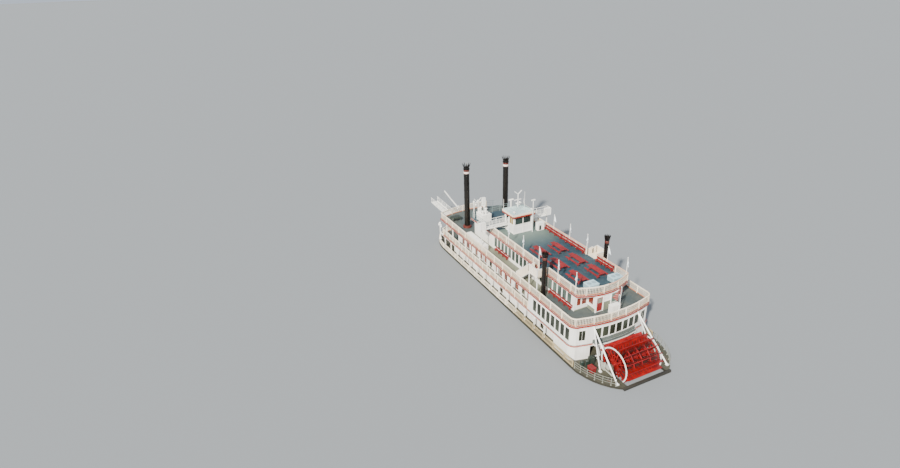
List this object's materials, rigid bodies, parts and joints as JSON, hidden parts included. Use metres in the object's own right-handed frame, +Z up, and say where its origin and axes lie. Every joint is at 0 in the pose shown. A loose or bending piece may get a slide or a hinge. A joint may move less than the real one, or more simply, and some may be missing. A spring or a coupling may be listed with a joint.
{
  "type": "sternwheel paddle steamer, scale model at 1:2",
  "caption": "Sternwheel river excursion boat with stacked decks, cabins, tall stacks, turning stern wheel, rudders, swinging landing stage and a cabin door.",
  "frame": {"origin": "centre of the hull's flat bottom, on the centreline amidships", "axes": "+X towards the bow, +Y to port, +Z up"},
  "size_m": [27.725, 6.3939, 8.8055],
  "materials": {
    "hull_paint": "weathered satin",
    "deck_paint": "matt deck paint",
    "rail_paint": "satin",
    "white_paint": "gloss",
    "stack_paint": "satin",
    "red_paint": "satin",
    "wheel_paint": "painted, wet",
    "machine_grey": "painted",
    "dark_timber": "oiled",
    "unit_paint": "satin",
    "roof_paint": "satin",
    "window_glass": "tinted",
    "flag_cloth": "woven",
    "stay_wire": "bare"
  },
  "bodies": {
    "boat": {"hull": "hull_paint", "main_deck": "deck_paint", "main_rail": "rail_paint", "main_house": "white_paint", "engine_block": "machine_grey", "boiler_deck": "deck_paint", "boiler_house": "white_paint", "boiler_house_aft": "white_paint", "boiler_rail": "rail_paint", "texas_deck": "deck_paint", "texas_rail": "rail_paint", "texas_house": "white_paint", "stern_staff": "white_paint", "stern_locker": "white_paint", "locker_port": "white_paint", "bench_fore_port": "red_paint", "bench_aft_port": "red_paint", "locker_stbd": "white_paint", "bench_fore_stbd": "red_paint", "bench_aft_stbd": "red_paint", "sun_deck": "deck_paint", "sun_rail_fore": "rail_paint", "sun_rail_aft": "rail_paint", "stair_wing_port": "rail_paint", "stair_wing_stbd": "rail_paint", "tables_port": "red_paint", "tables_stbd": "red_paint", "rail_bench_1_port": "red_paint", "rail_bench_2_port": "red_paint", "air_unit_port": "unit_paint", "rail_bench_1_stbd": "red_paint", "rail_bench_2_stbd": "red_paint", "air_unit_stbd": "unit_paint", "pilothouse": "white_paint", "pilothouse_roof": "roof_paint", "pilot_mast": "white_paint", "radar_post": "white_paint", "bridge_wing_port": "white_paint", "bridge_wing_stbd": "white_paint", "vent_house": "white_paint", "signal_frame": "white_paint", "front_stack_port": "stack_paint", "aft_stack_port": "stack_paint", "front_stack_stbd": "stack_paint", "aft_stack_stbd": "stack_paint", "stern_beam": "dark_timber", "stern_brace_port": "white_paint", "wheel_bearing_port": "machine_grey", "stern_brace_stbd": "white_paint", "wheel_bearing_stbd": "machine_grey", "bow_lamp": "white_paint"},
    "wheel": {"paddle_wheel": "wheel_paint", "wheel_hoop_port": "white_paint", "wheel_hoop_stbd": "white_paint"},
    "rudder_port": {"rudder_port": "machine_grey"},
    "rudder_stbd": {"rudder_stbd": "machine_grey"},
    "stage": {"king_post": "white_paint", "stage_boom": "white_paint", "landing_stage": "white_paint"},
    "texas_door": {"texas_door": "red_paint"}
  },
  "joints": [
    {"name": "wheel_spin", "type": "hinge", "parent": "boat", "child": "wheel", "pos_m": [-10.125, 0, 1.325], "axis": [0, 1, 0], "continuous": true},
    {"name": "rudder_port_turn", "type": "hinge", "parent": "boat", "child": "rudder_port", "pos_m": [-8.425, 1.15, 0.5], "axis": [0, 0, 1], "range_deg": [-40, 40]},
    {"name": "rudder_stbd_turn", "type": "hinge", "parent": "boat", "child": "rudder_stbd", "pos_m": [-8.425, -1.15, 0.5], "axis": [0, 0, 1], "range_deg": [-40, 40]},
    {"name": "stage_swing", "type": "hinge", "parent": "boat", "child": "stage", "pos_m": [10.825, 0.9, 0.875], "axis": [0, 0, 1], "range_deg": [-50, 60]},
    {"name": "texas_door_turn", "type": "hinge", "parent": "boat", "child": "texas_door", "pos_m": [-7.64, 0.769, 3.385], "axis": [0, 0, -1], "range_deg": [0, 100]}
  ],
  "couplings": [
    {"joint": "rudder_stbd_turn", "follows": "rudder_port_turn", "ratio": 1}
  ]
}
